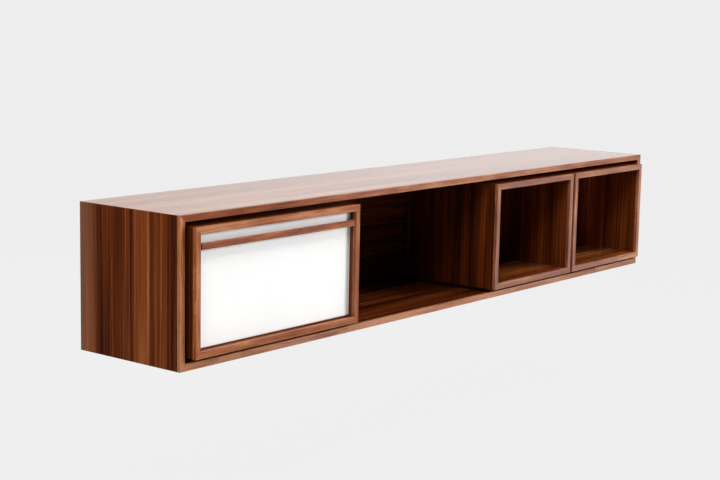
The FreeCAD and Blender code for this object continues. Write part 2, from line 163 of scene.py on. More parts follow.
walnutFigure = {
    "stops": [  # from the dark heartwood lines to the pale sapwood side
        (0.00, (0.034, 0.0062, 0.0012)),
        (0.30, (0.098, 0.0190, 0.0036)),
        (0.56, (0.185, 0.0400, 0.0078)),
        (0.76, (0.275, 0.0700, 0.0155)),
        (0.90, (0.350, 0.1180, 0.0390)),
        (1.00, (0.440, 0.1800, 0.0760)),
    ],
    # along and depth count waves in a metre, pitch is a wave's width, or else the board's zone,
    # start keeps a layer apart from the others, and weight is its share in the tone
    "zones": dict(along=0.7, depth=3.0, detail=2.0, rough=0.5, weight=1.5),
    "gate": dict(along=0.9, depth=3.0, detail=0.0, rough=0.5, start=31.7, edges=(0.38, 0.60)),
    "lines": dict(along=1.1, depth=12.0, detail=4.0, rough=0.72, pitch=6.0 * mm, weight=-1.1,
                  edges=(0.53, 0.64)),
    "paleLines": dict(along=0.8, depth=12.0, detail=0.0, rough=0.5, pitch=9.0 * mm, weight=0.22,
                      start=53.1, edges=(0.60, 0.68)),
    "hairs": dict(along=3.0, depth=60.0, detail=2.0, rough=0.6, pitch=1.8 * mm, weight=-0.6),
    "fibres": dict(along=14.0, depth=500.0, detail=1.0, rough=0.5, pitch=0.6 * mm),
    "porePitch": 0.35 * mm,
    "poreLength": 6.0 * mm,
    "poreEdges": (0.60, 0.72),
    "jointEdges": (0.15 * mm, 0.6 * mm),
    "bandEdges": (0.40, 0.52),  # shares of the band's width, as is its dark border's place
    "borderPlace": 0.60,
    "borderWidth": 0.10,
    "slowDrift": (1.3, 5.0, 5.0),
    "quickDrift": (6.0, 30.0, 30.0),
    "quickShare": 0.16,
    "depthShare": 0.35,  # how much the figure moves sideways with depth
    "seedSteps": (1.713, 0.837, 0.391),  # how far the next seed's wood lies
    "fibreTints": ((0.88, 1.10), (0.86, 1.12), (0.82, 1.14)),  # red, green and blue, dark and pale
    "lineColour": (0.30, 0.22, 0.16, 1.0),
    "markColour": (0.28, 0.22, 0.18, 1.0),
    "roughness": 0.15,
    "fibreRoughness": 0.08,
}


def makeWalnutFigure(figure):
    # grain runs along the vector's X and the lines lie side by side along its Y
    inputs = [("Vector", "Vector", None)] + [(label, "Float", value) for word, label, value in woodInputs]
    outputs = [("Color", "Color"), ("Roughness", "Float"), ("Height", "Float")]
    tree, given, ends = newGroup("walnutFigure", inputs, outputs)
    along, beside = splitAxes(tree, given["Vector"])[:2]
    fromJoint = calc(tree, "SUBTRACT", along, given["First Joint"])
    place = calc(tree, "DIVIDE", fromJoint, given["Piece Length"])
    toJoint = distance(tree, place, calc(tree, "ROUND", place))
    toJoint = calc(tree, "MULTIPLY", toJoint, given["Piece Length"])
    joint = ease(tree, toJoint, *figure["jointEdges"], 1.0, 0.0)
    number = calc(tree, "ADD", given["Seed"], calc(tree, "FLOOR", place))
    pieceTone = addNode(tree, "ShaderNodeTexWhiteNoise", {"W": number},
                        noise_dimensions="1D").outputs["Value"]
    seedShift = joinAxes(tree, *(calc(tree, "MULTIPLY", number, step) for step in figure["seedSteps"]))
    moved = addNode(tree, "ShaderNodeVectorMath", {0: given["Vector"], 1: seedShift}).outputs[0]
    parts = splitAxes(tree, moved)
    slow = centred(tree, noise(tree, stretch(tree, moved, figure["slowDrift"])))
    quick = centred(tree, noise(tree, stretch(tree, moved, figure["quickDrift"])))
    drift = calc(tree, "MULTIPLY_ADD", quick, figure["quickShare"], slow)
    drift = calc(tree, "MULTIPLY", drift, given["Wander"])
    across = calc(tree, "ADD", calc(tree, "MULTIPLY_ADD", parts[2], figure["depthShare"], parts[1]), drift)
    run = calc(tree, "MULTIPLY", parts[0], given["Run"])

    def layer(look):
        pitch = look.get("pitch", given["Zone Width"])
        sideways = calc(tree, "ADD", calc(tree, "DIVIDE", across, pitch), look.get("start", 0.0))
        vector = joinAxes(tree, calc(tree, "MULTIPLY", run, look["along"]), sideways,
                          calc(tree, "MULTIPLY", parts[2], look["depth"]))
        return noise(tree, vector, 1.0, look["detail"], look["rough"])

    zones, lines, hairs, fibres = (layer(figure[name]) for name in ("zones", "lines", "hairs", "fibres"))
    gate, paleLines = (ease(tree, layer(figure[name]), *figure[name]["edges"])
                       for name in ("gate", "paleLines"))
    poreScale = (1 / figure["poreLength"], 1 / figure["porePitch"], 1 / figure["porePitch"])
    pores = ease(tree, noise(tree, stretch(tree, moved, poreScale), 1.0, 0.0), *figure["poreEdges"])

    def addTo(level, value, weight):
        return calc(tree, "MULTIPLY_ADD", value, weight, level)

    level = calc(tree, "MULTIPLY", centred(tree, zones), figure["zones"]["weight"])
    level = addTo(level, centred(tree, lines), figure["lines"]["weight"])
    level = addTo(level, centred(tree, hairs), figure["hairs"]["weight"])
    paleShare = calc(tree, "MULTIPLY", paleLines, given["Lines"])
    level = addTo(level, paleShare, figure["paleLines"]["weight"])
    level = addTo(0.5, level, given["Contrast"])
    fromBand = distance(tree, calc(tree, "ADD", beside, drift), given["Band Place"])
    fromBand = calc(tree, "DIVIDE", fromBand, given["Band Width"])
    band = ease(tree, fromBand, *figure["bandEdges"], 1.0, 0.0)
    toBorder = distance(tree, fromBand, figure["borderPlace"])
    border = ease(tree, toBorder, 0.0, figure["borderWidth"], 1.0, 0.0)
    level = addTo(level, calc(tree, "SUBTRACT", band, border), given["Band Tone"])
    level = calc(tree, "ADD", level, given["Tone"])
    level = addTo(level, centred(tree, pieceTone), given["Piece Tone"])
    fade = ease(tree, along, given["Fade From"], given["Fade To"], -1.0, 0.0)
    level = addTo(level, fade, given["Fade Tone"])
    colour = colourRamp(tree, level, figure["stops"])

    calm = addTo(1.0, calc(tree, "MULTIPLY", band, given["Band Tone"]), -2.5)  # few dark lines in the band
    strength = calc(tree, "MULTIPLY", addTo(0.2, gate, 0.8), given["Lines"])
    strength = calc(tree, "MULTIPLY", strength, calm)
    darkLines = calc(tree, "MULTIPLY", ease(tree, lines, *figure["lines"]["edges"]), strength)
    colour = blendColours(tree, darkLines, colour, figure["lineColour"], "MULTIPLY")
    fineTint = addNode(tree, "ShaderNodeCombineColor", {
        channel: ease(tree, fibres, 0.25, 0.75, dark, pale)
        for channel, (dark, pale) in enumerate(figure["fibreTints"])}).outputs[0]
    colour = blendColours(tree, 1.0, colour, fineTint, "MULTIPLY")
    marks = calc(tree, "MAXIMUM", calc(tree, "MULTIPLY", pores, 0.5), calc(tree, "MULTIPLY", joint, 0.8))
    colour = blendColours(tree, marks, colour, figure["markColour"], "MULTIPLY")
    rough = addTo(figure["roughness"], fibres, figure["fibreRoughness"])
    sunk = calc(tree, "MAXIMUM", pores, joint)
    height = calc(tree, "SUBTRACT", calc(tree, "MULTIPLY", fibres, 0.5), sunk)
    return closeGroup(tree, ends, {"Color": colour, "Roughness": rough, "Height": height})


plywoodLook = {
    "ply": 1.45 * mm,
    "longFibres": (30.0, 900.0, 2500.0),  # waves in a metre along X, Y and Z
    "endFibres": 1500.0,
    "faceFigure": (1.6, 28.0, 700.0),
    "longLayer": (0.58, 0.42, 0.25, 1.0),
    "endLayer": (0.40, 0.26, 0.14, 1.0),
    "glue": (0.30, 0.22, 0.15, 1.0),
    "glueEdge": 0.09,  # share of a ply
    "glueStrength": 0.6,
    "faceTints": [(0.32, (0.72, 0.64, 0.54)), (0.62, (1.06, 1.04, 1.0))],
    "fibreTints": [(0.3, (0.72, 0.66, 0.58)), (0.7, (1.08, 1.06, 1.02))],
    "roughness": 0.62,
    "relief": 0.12 * mm,
}


def makePlywoodLayers(look):
    # the layers are stacked along the vector's Z, and every second one shows its end grain
    tree, given, ends = newGroup("plywoodLayers", [
        ("Vector", "Vector", None), ("Ply", "Float", look["ply"]), ("Seed", "Float", 0.0)],
        [("Color", "Color"), ("Height", "Float")])
    upwards = splitAxes(tree, given["Vector"])[2]
    layer = calc(tree, "ADD", calc(tree, "DIVIDE", upwards, given["Ply"]), given["Seed"])
    which = calc(tree, "PINGPONG", layer, 1.0)
    crossGrain = ease(tree, which, 0.45, 0.55)
    longFibres = noise(tree, stretch(tree, given["Vector"], look["longFibres"]), 1.0, 3.0)
    endFibres = noise(tree, given["Vector"], look["endFibres"], 2.0)
    fibres = blendValues(tree, crossGrain, longFibres, endFibres)
    face = noise(tree, stretch(tree, given["Vector"], look["faceFigure"]), 1.0, 4.0, 0.62)
    colour = blendColours(tree, crossGrain, look["longLayer"], look["endLayer"])
    colour = blendColours(tree, 1.0, colour, colourRamp(tree, face, look["faceTints"]), "MULTIPLY")
    colour = blendColours(tree, 1.0, colour, colourRamp(tree, fibres, look["fibreTints"]), "MULTIPLY")
    glueLine = ease(tree, distance(tree, which, 0.5), 0.0, look["glueEdge"], 1.0, 0.0)
    glueShare = calc(tree, "MULTIPLY", glueLine, look["glueStrength"])
    colour = blendColours(tree, glueShare, colour, look["glue"], "MULTIPLY")
    height = calc(tree, "SUBTRACT", fibres, glueLine)
    return closeGroup(tree, ends, {"Color": colour, "Height": height})


handlingMarks = {
    "smudges": 14.0,  # waves in a metre
    "smudgeEdges": (0.40, 0.72),
    "hairs": (25.0, 1800.0, 700.0),  # waves in a metre along X, Y and Z, once turned
    "hairTurn": (0.4, 0.9, 0.6),
    "hairEdges": (0.68, 0.76),
}


def makeHandling(marks):
    # faint smudges and hair scratches that break up a gloss
    tree, given, ends = newGroup("handling", [("Vector", "Vector", None), ("Scratches", "Float", 0.5)],
                                 [("Mask", "Float"), ("Height", "Float")])
    smudge = noise(tree, given["Vector"], marks["smudges"], 4.0, 0.6)
    smudge = ease(tree, smudge, *marks["smudgeEdges"])
    turned = addNode(tree, "ShaderNodeMapping", {0: given["Vector"], 2: marks["hairTurn"]}).outputs[0]
    hairs = noise(tree, stretch(tree, turned, marks["hairs"]), 1.0, 1.0)
    hairs = calc(tree, "MULTIPLY", ease(tree, hairs, *marks["hairEdges"]), given["Scratches"])
    mask = calc(tree, "MULTIPLY_ADD", smudge, 0.5, calc(tree, "MULTIPLY", hairs, 0.5))
    return closeGroup(tree, ends, {"Mask": mask, "Height": calc(tree, "MULTIPLY", hairs, -1.0)})


figureGroup = makeWalnutFigure(walnutFigure)
plywoodGroup = makePlywoodLayers(plywoodLook)
handlingGroup = makeHandling(handlingMarks)


# Materials

def newMaterial(name):
    material = bpy.data.materials.new(name)
    material.use_nodes = True
    material.node_tree.nodes.clear()
    return material, material.node_tree


def newFinish(name):
    # one Principled shader, and the piece's own coordinates
    material, tree = newMaterial(name)
    shader = tree.nodes.new("ShaderNodeBsdfPrincipled")
    addNode(tree, "ShaderNodeOutputMaterial", {0: shader.outputs[0]})
    return material, tree, shader, tree.nodes.new("ShaderNodeTexCoord").outputs["Object"]


def placeGroup(tree, group, wires):
    return addNode(tree, "ShaderNodeGroup", wires, node_tree=group).outputs


def bump(tree, height, relief, strength):
    wires = {"Height": height, "Distance": relief, "Strength": strength}
    return addNode(tree, "ShaderNodeBump", wires).outputs[0]


axes = {"x": Vector((1, 0, 0)), "y": Vector((0, 1, 0)), "z": Vector((0, 0, 1))}


def turnedTo(tree, place, along, across):
    # Mapping that brings one axis of the piece to X and another to Y
    rows = Matrix((axes[along], axes[across], axes[along].cross(axes[across])))
    return addNode(tree, "ShaderNodeMapping", {0: place, 2: rows.to_euler()}).outputs[0]


walnutFinish = {
    "scratches": 0.3,
    "handledRoughness": 0.04,
    "coatRoughness": 0.1,
    "relief": 0.05 * mm,
    "grey": (0.25, 0.20, 0.20, 1.0),
    "seamEdges": (0.10 * mm, 0.35 * mm),  # of a mitre within one node
    "seamStrength": 0.7,
    "seamColour": (0.25, 0.20, 0.18, 1.0),
}

# What a board has unless its own values say otherwise
plainWalnut = {word: value for word, label, value in woodInputs}
plainWalnut.update(satin=1.0, ior=1.38, coat=0.0, greyed=0.0, tint=None)

# A tint along one axis: the first is painted light from the wall, paler towards the left end's rear, and
# the second turns a board greyer towards the right
paintedWallLightRear = dict(axis="Y", start=-85 * mm, end=0.0, share=0.26, colour=(0.62, 0.30, 0.18, 1.0))
greyedRight = dict(axis="X", start=-0.90, end=-0.40, share=0.14, colour=walnutFinish["grey"])


def addFigure(tree, place, wood):
    wires = {label: wood[word] for word, label, value in woodInputs}
    wires["Vector"] = turnedTo(tree, place, wood["along"], wood["across"])
    return placeGroup(tree, figureGroup, wires)


def addPlywood(tree, place, along, across, seed):
    return placeGroup(tree, plywoodGroup, {
        "Vector": turnedTo(tree, place, along, across), "Ply": plywoodLook["ply"], "Seed": seed})


def finishWalnut(tree, shader, place, colour, rough, height, wood):
    life = placeGroup(tree, handlingGroup, {"Vector": place, "Scratches": walnutFinish["scratches"]})
    rough = calc(tree, "MULTIPLY_ADD", life["Mask"], walnutFinish["handledRoughness"], rough)
    if wood["greyed"]:
        colour = blendColours(tree, wood["greyed"], colour, walnutFinish["grey"])
    # the tint: painted light from the wall on the left end's rear, and a greyer colour towards the right on
    # the top lipping
    tint = wood["tint"]
    if tint:
        onAxis = splitAxes(tree, place)[tint["axis"]]
        share = ease(tree, onAxis, tint["start"], tint["end"], 0.0, tint["share"])
        colour = blendColours(tree, share, colour, tint["colour"])
    feed(tree, shader, {
        "Base Color": colour, "Roughness": calc(tree, "MULTIPLY", rough, wood["satin"]),
        "IOR": wood["ior"], "Coat Weight": wood["coat"], "Coat Roughness": walnutFinish["coatRoughness"],
        "Normal": bump(tree, height, walnutFinish["relief"], 0.6)})


def walnutBoard(name, wood, rear=None):
    # rear is the Y past which the sawn core of a veneered board shows
    wood = dict(plainWalnut, **wood)
    material, tree, shader, place = newFinish(name)
    figure = addFigure(tree, place, wood)
    colour = figure["Color"]
    if rear is not None:
        core = addPlywood(tree, place, wood["along"], "y", wood["seed"])
        sawn = calc(tree, "GREATER_THAN", splitAxes(tree, place)[1], rear)
        colour = blendColours(tree, sawn, colour, core["Color"])
    finishWalnut(tree, shader, place, colour, figure["Roughness"], figure["Height"], wood)
    return material


def walnutLippings(name, wood, box):
    # four strips in one node: level ones run along X, upright ones along Z, and they meet in mitres
    wood = dict(plainWalnut, **wood)
    material, tree, shader, place = newFinish(name)
    level = addFigure(tree, place, dict(wood, along="x", across="z"))
    upright = addFigure(tree, place, dict(
        wood, along="z", across="x", tone=wood["uprightTone"], seed=wood["seed"] + 3.3))
    parts = splitAxes(tree, place)
    low, high = box
    inset = []
    for axis in (0, 2):
        middle, half = (low[axis] + high[axis]) / 2, (high[axis] - low[axis]) / 2
        inset.append(calc(tree, "SUBTRACT", half, distance(tree, parts[axis], middle)))
    fromMitre = calc(tree, "SUBTRACT", *inset)
    isUpright = calc(tree, "LESS_THAN", fromMitre, 0.0)
    seam = ease(tree, calc(tree, "ABSOLUTE", fromMitre), *walnutFinish["seamEdges"], 1.0, 0.0)
    seamShare = calc(tree, "MULTIPLY", seam, walnutFinish["seamStrength"])
    colour = blendColours(tree, isUpright, level["Color"], upright["Color"])
    colour = blendColours(tree, seamShare, colour, walnutFinish["seamColour"], "MULTIPLY")
    rough, height = (blendValues(tree, isUpright, level[result], upright[result])
                     for result in ("Roughness", "Height"))
    finishWalnut(tree, shader, place, colour, rough, calc(tree, "SUBTRACT", height, seam), wood)
    return material


def plywood(name, along, across, seed):
    material, tree, shader, place = newFinish(name)
    layers = addPlywood(tree, place, along, across, seed)
    feed(tree, shader, {"Base Color": layers["Color"], "Roughness": plywoodLook["roughness"],
                        "Normal": bump(tree, layers["Height"], plywoodLook["relief"], 0.5)})
    return material


# What finishes of one kind have in common: patterns in waves a metre, depths, and roughness that marks add
lacquering = {"clouds": 5.0, "peel": 420.0, "relief": 0.02 * mm, "handledRoughness": 0.08}
brushing = {"clouds": 60.0, "strokes": (60.0, 4000.0, 4000.0), "relief": 0.01 * mm, "strokeRoughness": 0.12,
            "handledRoughness": 0.14}
moulding = {"worn": 90.0, "grain": 2600.0, "relief": 0.03 * mm, "grainRoughness": 0.15}
felting = {"fibres": (900.0, 1400.0, 1100.0), "fuzz": 1800.0, "relief": 0.4 * mm}


def lacquer(name, look):
    material, tree, shader, place = newFinish(name)
    life = placeGroup(tree, handlingGroup, {"Vector": place, "Scratches": look["scratches"]})
    cloud = ease(tree, noise(tree, place, lacquering["clouds"], 3.0), 0.35, 0.65)
    peel = calc(tree, "ADD", noise(tree, place, lacquering["peel"], 2.0, 0.4), life["Height"])
    rough = calc(tree, "MULTIPLY_ADD", life["Mask"], lacquering["handledRoughness"], look["rough"])
    feed(tree, shader, {
        "Base Color": blendColours(tree, cloud, look["colour"], look["shade"]), "Roughness": rough,
        "IOR": look["ior"], "Normal": bump(tree, peel, lacquering["relief"], 0.4)})
    return material


def metal(name, look):
    material, tree, shader, place = newFinish(name)
    turned = turnedTo(tree, place, look["along"], look["across"])
    brushed = noise(tree, stretch(tree, turned, brushing["strokes"]), 1.0, 2.0)
    life = placeGroup(tree, handlingGroup, {"Vector": place, "Scratches": 1.0})
    cloud = ease(tree, noise(tree, place, brushing["clouds"], 3.0), 0.3, 0.7)
    rough = calc(tree, "MULTIPLY_ADD", brushed, brushing["strokeRoughness"], look["rough"])
    feed(tree, shader, {
        "Base Color": blendColours(tree, cloud, look["colour"], look["tarnish"]),
        "Roughness": calc(tree, "MULTIPLY_ADD", life["Mask"], brushing["handledRoughness"], rough),
        "Metallic": 1.0, "Normal": bump(tree, brushed, brushing["relief"], 0.5)})
    return material


def nylon(name, look):
    material, tree, shader, place = newFinish(name)
    grain = noise(tree, place, moulding["grain"], 2.0)
    worn = ease(tree, noise(tree, place, moulding["worn"], 3.0), 0.45, 0.75)
    feed(tree, shader, {
        "Base Color": blendColours(tree, worn, look["colour"], look["worn"]),
        "Roughness": calc(tree, "MULTIPLY_ADD", grain, moulding["grainRoughness"], look["rough"]),
        "Normal": bump(tree, grain, moulding["relief"], 0.7)})
    return material


def felt(name, look):
    material, tree, shader, place = newFinish(name)
    wires = {"Vector": stretch(tree, place, felting["fibres"]), "Scale": 1.0}
    fibres = addNode(tree, "ShaderNodeTexVoronoi", wires, distance="EUCLIDEAN").outputs["Distance"]
    fuzz = noise(tree, place, felting["fuzz"], 3.0, 0.7)
    mix = calc(tree, "MULTIPLY", fibres, fuzz)
    feed(tree, shader, {
        "Base Color": blendColours(tree, mix, look["colour"], look["light"]),
        "Roughness": look["rough"], "Sheen Weight": look["sheen"],
        "Normal": bump(tree, fuzz, felting["relief"], 0.8)})
    return material


def dress(name, material):
    for slot in nodes[name].material_slots:
        slot.material = material


# Walnut boards: grain, tone and a seed of their own for each; on some boards the tone also holds painted
# shade or painted light

caseRear = -0.2 * mm
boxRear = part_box("left_cube_top")[1].y - 0.2 * mm

boards = {
    "case_top": dict(
        along="x", across="y", zone=45 * mm, wander=40 * mm, contrast=0.75, lines=0.6, ior=1.5, satin=0.55,
        coat=0.1, tone=0.18, fadeFrom=-1.0, fadeTo=0.0, fadeTone=-0.16, seed=1.0),
    # its darker tone is painted shade on the floor of the open bay; the strong contrast is grain
    "case_bottom": dict(
        along="x", across="y", zone=22 * mm, wander=40 * mm, contrast=1.3, tone=-0.07, lines=1.0, seed=2.0),
    # its tint is painted light from the wall, paler over the last 85 mm towards the rear
    "case_left_end": dict(
        along="z", across="y", zone=55 * mm, wander=9 * mm, tone=-0.17, lines=1.0, contrast=0.82,
        bandPlace=-246 * mm, bandWidth=66 * mm, bandTone=0.26, ior=1.3, tint=paintedWallLightRear, seed=62.5),
    "case_right_end": dict(along="z", across="y", zone=55 * mm, wander=9 * mm, lines=0.9, seed=4.0),
    # its dark tone is painted shade, deep in the open bay
    "case_back_panel": dict(along="x", across="z", wander=70 * mm, tone=-0.40, seed=5.0),
    "cabinet_top": dict(along="x", across="y", wander=20 * mm, seed=6.0),
    "cabinet_bottom": dict(along="x", across="y", wander=20 * mm, seed=7.0),
    # the darker tones of the cabinet's sides are painted shade, in the gap beside the case end and in the
    # open bay
    "cabinet_left_side": dict(along="z", across="y", wander=8 * mm, tone=-0.26, seed=8.0),
    "cabinet_right_side": dict(along="z", across="y", wander=8 * mm, tone=-0.1, seed=9.0),
    "cabinet_back": dict(along="x", across="z", wander=30 * mm, seed=10.0),
}
cubes = {
    # the side values are painted shade inside and beside the cubes, and on the right cube's right side
    # painted light, as from pale things kept in it
    "left_cube": dict(seed=11.0, leftSideShading=-0.28, rightSideShading=-0.20),
    "right_cube": dict(seed=16.0, leftSideShading=-0.10, rightSideShading=0.12),
}
for cube, own in cubes.items():
    seed = own["seed"]
    boards.update({
        cube + "_top": dict(along="x", across="y", wander=20 * mm, tone=-0.1, seed=seed),
        cube + "_bottom": dict(along="x", across="y", wander=20 * mm, tone=0.20, seed=seed + 1),
        # the sides take the painted shade or painted light given for their cube
        cube + "_left_side": dict(
            along="z", across="y", wander=8 * mm, tone=own["leftSideShading"], seed=seed + 2),
        cube + "_right_side": dict(
            along="z", across="y", wander=8 * mm, tone=own["rightSideShading"], seed=seed + 3),
        # the backs' darker tone is painted shade, deep inside the cubes
        cube + "_back": dict(along="x", across="z", wander=30 * mm, tone=-0.2, seed=seed + 4),
    })

for name, wood in boards.items():
    rear = caseRear if name.startswith("case") else boxRear
    if name.endswith(("_back", "_panel")):
        rear = None  # these lie in grooves, so no sawn edge shows
    dress(name, walnutBoard(name + "_walnut", wood, rear))

# Solid strips: the lippings and the handle

lipping = dict(zone=40 * mm, wander=10 * mm, tone=0.32, contrast=0.75, lines=0.35, run=6.0, ior=1.5,
               satin=1.5)
strips = {
    "case_top_lipping": dict(
        along="x", tone=0.34, piece=1.9, joint=-0.977, pieceTone=0.16, fadeFrom=-0.85, fadeTo=-0.40,
        fadeTone=0.18, tint=greyedRight, ior=1.38, seed=13.0),
    "case_bottom_lipping": dict(
        along="x", tone=0.34, piece=1.9, joint=-0.985, fadeFrom=0.3, fadeTo=1.1, fadeTone=-0.12,
        greyed=0.1, seed=7.0),
    "case_left_lipping": dict(along="z", tone=0.52, ior=1.38, satin=1.1, seed=23.0),
    "case_right_lipping": dict(along="z", seed=24.0),
    "cabinet_top_lipping": dict(along="x", tone=0.40, seed=25.0),
    "cabinet_bottom_lipping": dict(along="x", tone=0.33, seed=26.4),
    "cabinet_left_lipping": dict(along="z", tone=0.34, seed=27.0),
    # its tone, lower than the other lippings', is painted shade where the key lamp falls strongest
    "cabinet_right_lipping": dict(along="z", tone=0.17, seed=28.0),
    "handle_strip": dict(along="x", tone=0.29, contrast=1.0, satin=1.0, seed=29.0),
}
for name, own in strips.items():
    wood = dict(lipping, **own)
    wood["across"] = "z" if wood["along"] == "x" else "x"
    dress(name, walnutBoard(name + "_walnut", wood))

cubeLipping = dict(lipping, contrast=0.95, lines=0.5, greyed=0.13, satin=1.9, ior=1.65)
cubeLippings = {
    "left_cube_front_lippings": dict(tone=0.23, uprightTone=0.26, seed=31.0),
    "right_cube_front_lippings": dict(tone=0.45, uprightTone=0.14, seed=41.0),
}
for name, own in cubeLippings.items():
    dress(name, walnutLippings(name + "_walnut", dict(cubeLipping, **own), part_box(name)))

runner = dict(along="y", across="x", wander=6 * mm, tone=0.1)
for name, seed in (("cabinet_runners", 51.0), ("left_cube_runners", 52.0), ("right_cube_runners", 53.0)):
    dress(name, walnutBoard(name + "_walnut", dict(runner, seed=seed)))
print("walnut finished")

# The other finishes

finishes = {
    "whiteLacquer": dict(colour=(0.86, 0.86, 0.855, 1.0), shade=(0.84, 0.84, 0.835, 1.0), rough=0.33,
                         scratches=0.25, ior=1.5),
    "brass": dict(colour=(0.80, 0.56, 0.25, 1.0), tarnish=(0.62, 0.42, 0.19, 1.0), rough=0.24,
                  along="z", across="y"),
    "zincSteel": dict(colour=(0.60, 0.60, 0.59, 1.0), tarnish=(0.48, 0.48, 0.47, 1.0), rough=0.28,
                      along="y", across="z"),
    "plateSteel": dict(colour=(0.36, 0.36, 0.36, 1.0), tarnish=(0.27, 0.27, 0.27, 1.0), rough=0.34,
                       along="x", across="y"),
    "nickelSteel": dict(colour=(0.66, 0.63, 0.58, 1.0), tarnish=(0.55, 0.52, 0.48, 1.0), rough=0.24,
                        along="y", across="z"),
    "blackNylon": dict(colour=(0.016, 0.016, 0.017, 1.0), worn=(0.035, 0.035, 0.036, 1.0), rough=0.42),
    "brownNylon": dict(colour=(0.040, 0.021, 0.011, 1.0), worn=(0.065, 0.036, 0.020, 1.0), rough=0.40),
    "feltPad": dict(colour=(0.030, 0.024, 0.020, 1.0), light=(0.12, 0.10, 0.085, 1.0), rough=0.95,
                    sheen=0.4),
}
whiteLacquer = lacquer("whiteLacquer", finishes["whiteLacquer"])
brass, zincSteel, plateSteel, nickelSteel = (
    metal(name, finishes[name]) for name in ("brass", "zincSteel", "plateSteel", "nickelSteel"))
blackNylon, brownNylon = (nylon(name, finishes[name]) for name in ("blackNylon", "brownNylon"))
feltPad = felt("feltPad", finishes["feltPad"])

dress("flap_panel", whiteLacquer)
dress("hinge_washers", brass)
dress("magnetic_catches", brownNylon)
dress("strike_plates", plateSteel)
for name, along, across, seed in (("case_cleat", "x", "z", 0.2), ("wall_cleat", "x", "z", 0.5),
                                  ("case_mitre_splines", "y", "x", 0.7)):
    dress(name, plywood(name + "_plywood", along, across, seed))
for name in ("cabinet_felts", "left_cube_felts", "right_cube_felts"):
    dress(name, feltPad)
for side in ("left_", "right_"):
    for name, material in (
            ("hinge_case_leaf", brass), ("hinge_door_leaf", brass), ("stay_base", nickelSteel),
            ("stay_bracket", nickelSteel), ("stay_rod", nickelSteel), ("stay_guide", blackNylon),
            ("stay_stop", blackNylon)):
        dress(side + name, material)
print("other finishes finished")

# Screws: one Geometry Nodes tree sets a cross-slotted head on each point of a mesh

panHead = {"Head Radius": 3.4 * mm, "Head Height": 1.3 * mm, "Top Share": 0.70, "Slot Width": 0.9 * mm,
           "Slot Depth": 0.9 * mm, "Seed": 4}
flushHead = {"Head Radius": 2.6 * mm, "Head Height": 0.2 * mm, "Top Share": 0.96, "Slot Width": 0.7 * mm,
             "Slot Depth": 0.15 * mm, "Seed": 9}
catchHead = dict(flushHead, **{"Head Height": 0.5 * mm})
strikeHead = dict(flushHead, **{"Head Height": 0.12 * mm})
cleatHead = {"Head Radius": 4.2 * mm, "Head Height": 0.4 * mm, "Top Share": 0.95, "Slot Width": 1.0 * mm,
             "Slot Depth": 0.35 * mm, "Seed": 2}
headForm = {
    "sides": 28,
    "slotShare": 1.1,  # the slot's length as a share of the head's radius
}


def makeScrewTree(form):
    sizes = [(label, "Int" if label == "Seed" else "Float", value) for label, value in panHead.items()]
    inputs = [("Points", "Geometry", None), *sizes, ("Material", "Material", None)]
    tree, given, ends = newGroup("screwHeads", inputs, [("Heads", "Geometry")], "GeometryNodeTree")
    topRadius = calc(tree, "MULTIPLY", given["Head Radius"], given["Top Share"])
    head = addNode(tree, "GeometryNodeMeshCone", {
        "Vertices": form["sides"], "Radius Top": topRadius, "Radius Bottom": given["Head Radius"],
        "Depth": given["Head Height"]}).outputs["Mesh"]
    slotLength = calc(tree, "MULTIPLY", given["Head Radius"], form["slotShare"])
    cutterHeight = calc(tree, "MULTIPLY", given["Slot Depth"], 2.0)
    top = joinAxes(tree, 0.0, 0.0, given["Head Height"])
    for length, width in ((slotLength, given["Slot Width"]), (given["Slot Width"], slotLength)):
        size = joinAxes(tree, length, width, cutterHeight)
        bar = addNode(tree, "GeometryNodeMeshCube", {"Size": size}).outputs["Mesh"]
        cutter = addNode(tree, "GeometryNodeTransform", {"Geometry": bar, "Translation": top}).outputs[0]
        head = addNode(tree, "GeometryNodeMeshBoolean", {"Mesh 1": head, "Mesh 2": cutter},
                       operation="DIFFERENCE", solver="EXACT").outputs["Mesh"]
    facing = addNode(tree, "GeometryNodeInputNamedAttribute", {"Name": "facing"},
                     data_type="FLOAT_VECTOR").outputs["Attribute"]
    upright = addNode(tree, "FunctionNodeAlignRotationToVector", {"Vector": facing}, axis="Z").outputs[0]
    spin = addNode(tree, "FunctionNodeRandomValue", {2: 0.0, 3: math.pi / 2, "Seed": given["Seed"]},
                   data_type="FLOAT").outputs[1]
    twist = addNode(tree, "FunctionNodeAxisAngleToRotation", {
        "Axis": (0, 0, 1), "Angle": spin}).outputs[0]
    turned = addNode(tree, "FunctionNodeRotateRotation", {0: upright, 1: twist},
                     rotation_space="LOCAL").outputs[0]
    placed = addNode(tree, "GeometryNodeInstanceOnPoints", {
        "Points": given["Points"], "Instance": head, "Rotation": turned}).outputs[0]
    real = addNode(tree, "GeometryNodeRealizeInstances", {0: placed}).outputs[0]
    finished = addNode(tree, "GeometryNodeSetMaterial", {
        "Geometry": real, "Material": given["Material"]}).outputs[0]
    return closeGroup(tree, ends, {"Heads": finished})


screwTree = makeScrewTree(headForm)


